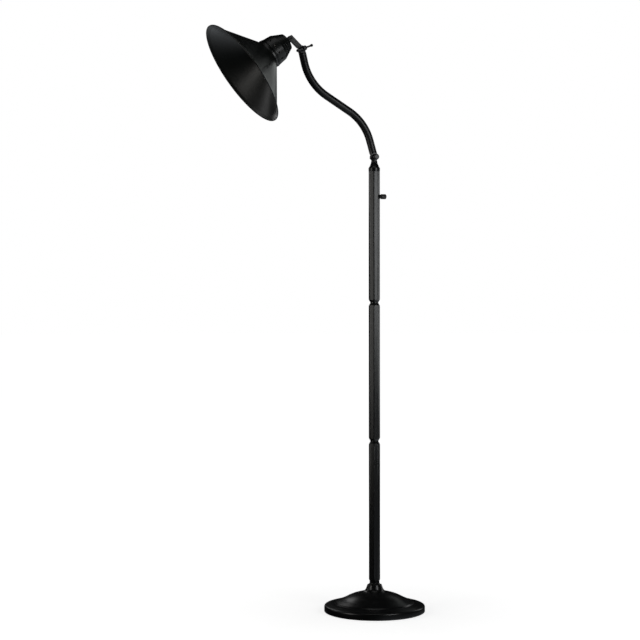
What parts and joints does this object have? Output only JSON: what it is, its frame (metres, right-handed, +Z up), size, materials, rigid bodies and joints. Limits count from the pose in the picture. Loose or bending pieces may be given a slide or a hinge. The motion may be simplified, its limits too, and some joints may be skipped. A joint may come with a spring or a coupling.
{
  "type": "pharmacy floor lamp",
  "caption": "Black pharmacy floor lamp: weighted round base, octagonal pole in stacked sections, S-shaped arm that swivels and tilts, and a tilting cone shade with a vented cap.",
  "frame": {"origin": "centre of the underside of the base, on the floor", "axes": "+Z up along the pole; the arm and shade lean towards -X; the hinge bolts lie along Y with their handles on the -Y side; the switch knob points along +X and the cord leaves the base along +Y"},
  "size_m": [0.5546, 0.28, 1.4557],
  "materials": {
    "black_paint": "satin black lacquer",
    "black_fittings": "satin black",
    "raw_iron": "rough sand casting",
    "felt": "pressed felt",
    "zinc_steel": "zinc plated",
    "dark_screws": "blackened",
    "brass": "bright rolled",
    "phenolic": "moulded, semi-gloss",
    "porcelain": "glazed",
    "black_rubber": "matt"
  },
  "bodies": {
    "stand": {"base_shell": "black_paint", "base_weight": "raw_iron", "base_pad": "felt", "base_stud": "zinc_steel", "base_nut": "zinc_steel", "base_washer": "zinc_steel", "cord_bushing": "black_rubber", "foot_ferrule": "black_paint", "pole_lower": "black_paint", "pole_middle": "black_paint", "pole_upper": "black_paint", "pole_ferrules": "black_paint", "coupling_nipples": "zinc_steel", "coupling_rings": "black_paint", "pole_cap": "black_paint", "supply_lead": "black_rubber", "switch_body": "phenolic", "switch_nut": "black_fittings"},
    "switch_turn": {"switch_spindle": "zinc_steel", "switch_knob": "phenolic"},
    "swivel": {"swivel_knuckle": "black_paint", "swivel_washer": "brass", "swivel_nut": "zinc_steel", "arm_joint_washer": "brass", "arm_cap_nut": "black_fittings"},
    "arm_clamp": {"arm_knob": "black_fittings", "arm_stud": "zinc_steel"},
    "arm": {"arm_tube": "black_paint", "arm_foot": "black_paint", "arm_head": "black_paint", "arm_lead": "black_rubber", "tilt_joint_washer": "brass", "tilt_cap_nut": "black_fittings"},
    "tilt_clamp": {"tilt_hub": "black_fittings", "tilt_bar": "black_fittings", "tilt_stud": "zinc_steel"},
    "head": {"shade_link": "black_paint", "shade": "black_paint", "shade_cap": "black_paint", "shade_screws": "dark_screws", "cap_nut": "zinc_steel", "socket_nipple": "zinc_steel", "socket_body": "porcelain", "socket_shell": "brass", "socket_contact": "brass"}
  },
  "joints": [
    {"name": "switch_rotate", "type": "hinge", "parent": "stand", "child": "switch_turn", "pos_m": [0, 0, 1.047], "axis": [1, 0, 0], "continuous": true},
    {"name": "arm_swivel", "type": "hinge", "parent": "stand", "child": "swivel", "pos_m": [0, 0, 1.11], "axis": [0, 0, 1], "range_deg": [-175, 175]},
    {"name": "arm_clamp_turn", "type": "hinge", "parent": "swivel", "child": "arm_clamp", "pos_m": [0, 0, 1.146], "axis": [0, -1, 0], "range_deg": [0, 360]},
    {"name": "arm_tilt", "type": "hinge", "parent": "swivel", "child": "arm", "pos_m": [0, 0, 1.146], "axis": [0, -1, 0], "range_deg": [-30, 60]},
    {"name": "tilt_clamp_turn", "type": "hinge", "parent": "arm", "child": "tilt_clamp", "pos_m": [-0.19128, 0, 1.40776], "axis": [0, -1, 0], "range_deg": [0, 360]},
    {"name": "shade_tilt", "type": "hinge", "parent": "arm", "child": "head", "pos_m": [-0.19128, 0, 1.40776], "axis": [0, -1, 0], "range_deg": [-60, 40]}
  ]
}
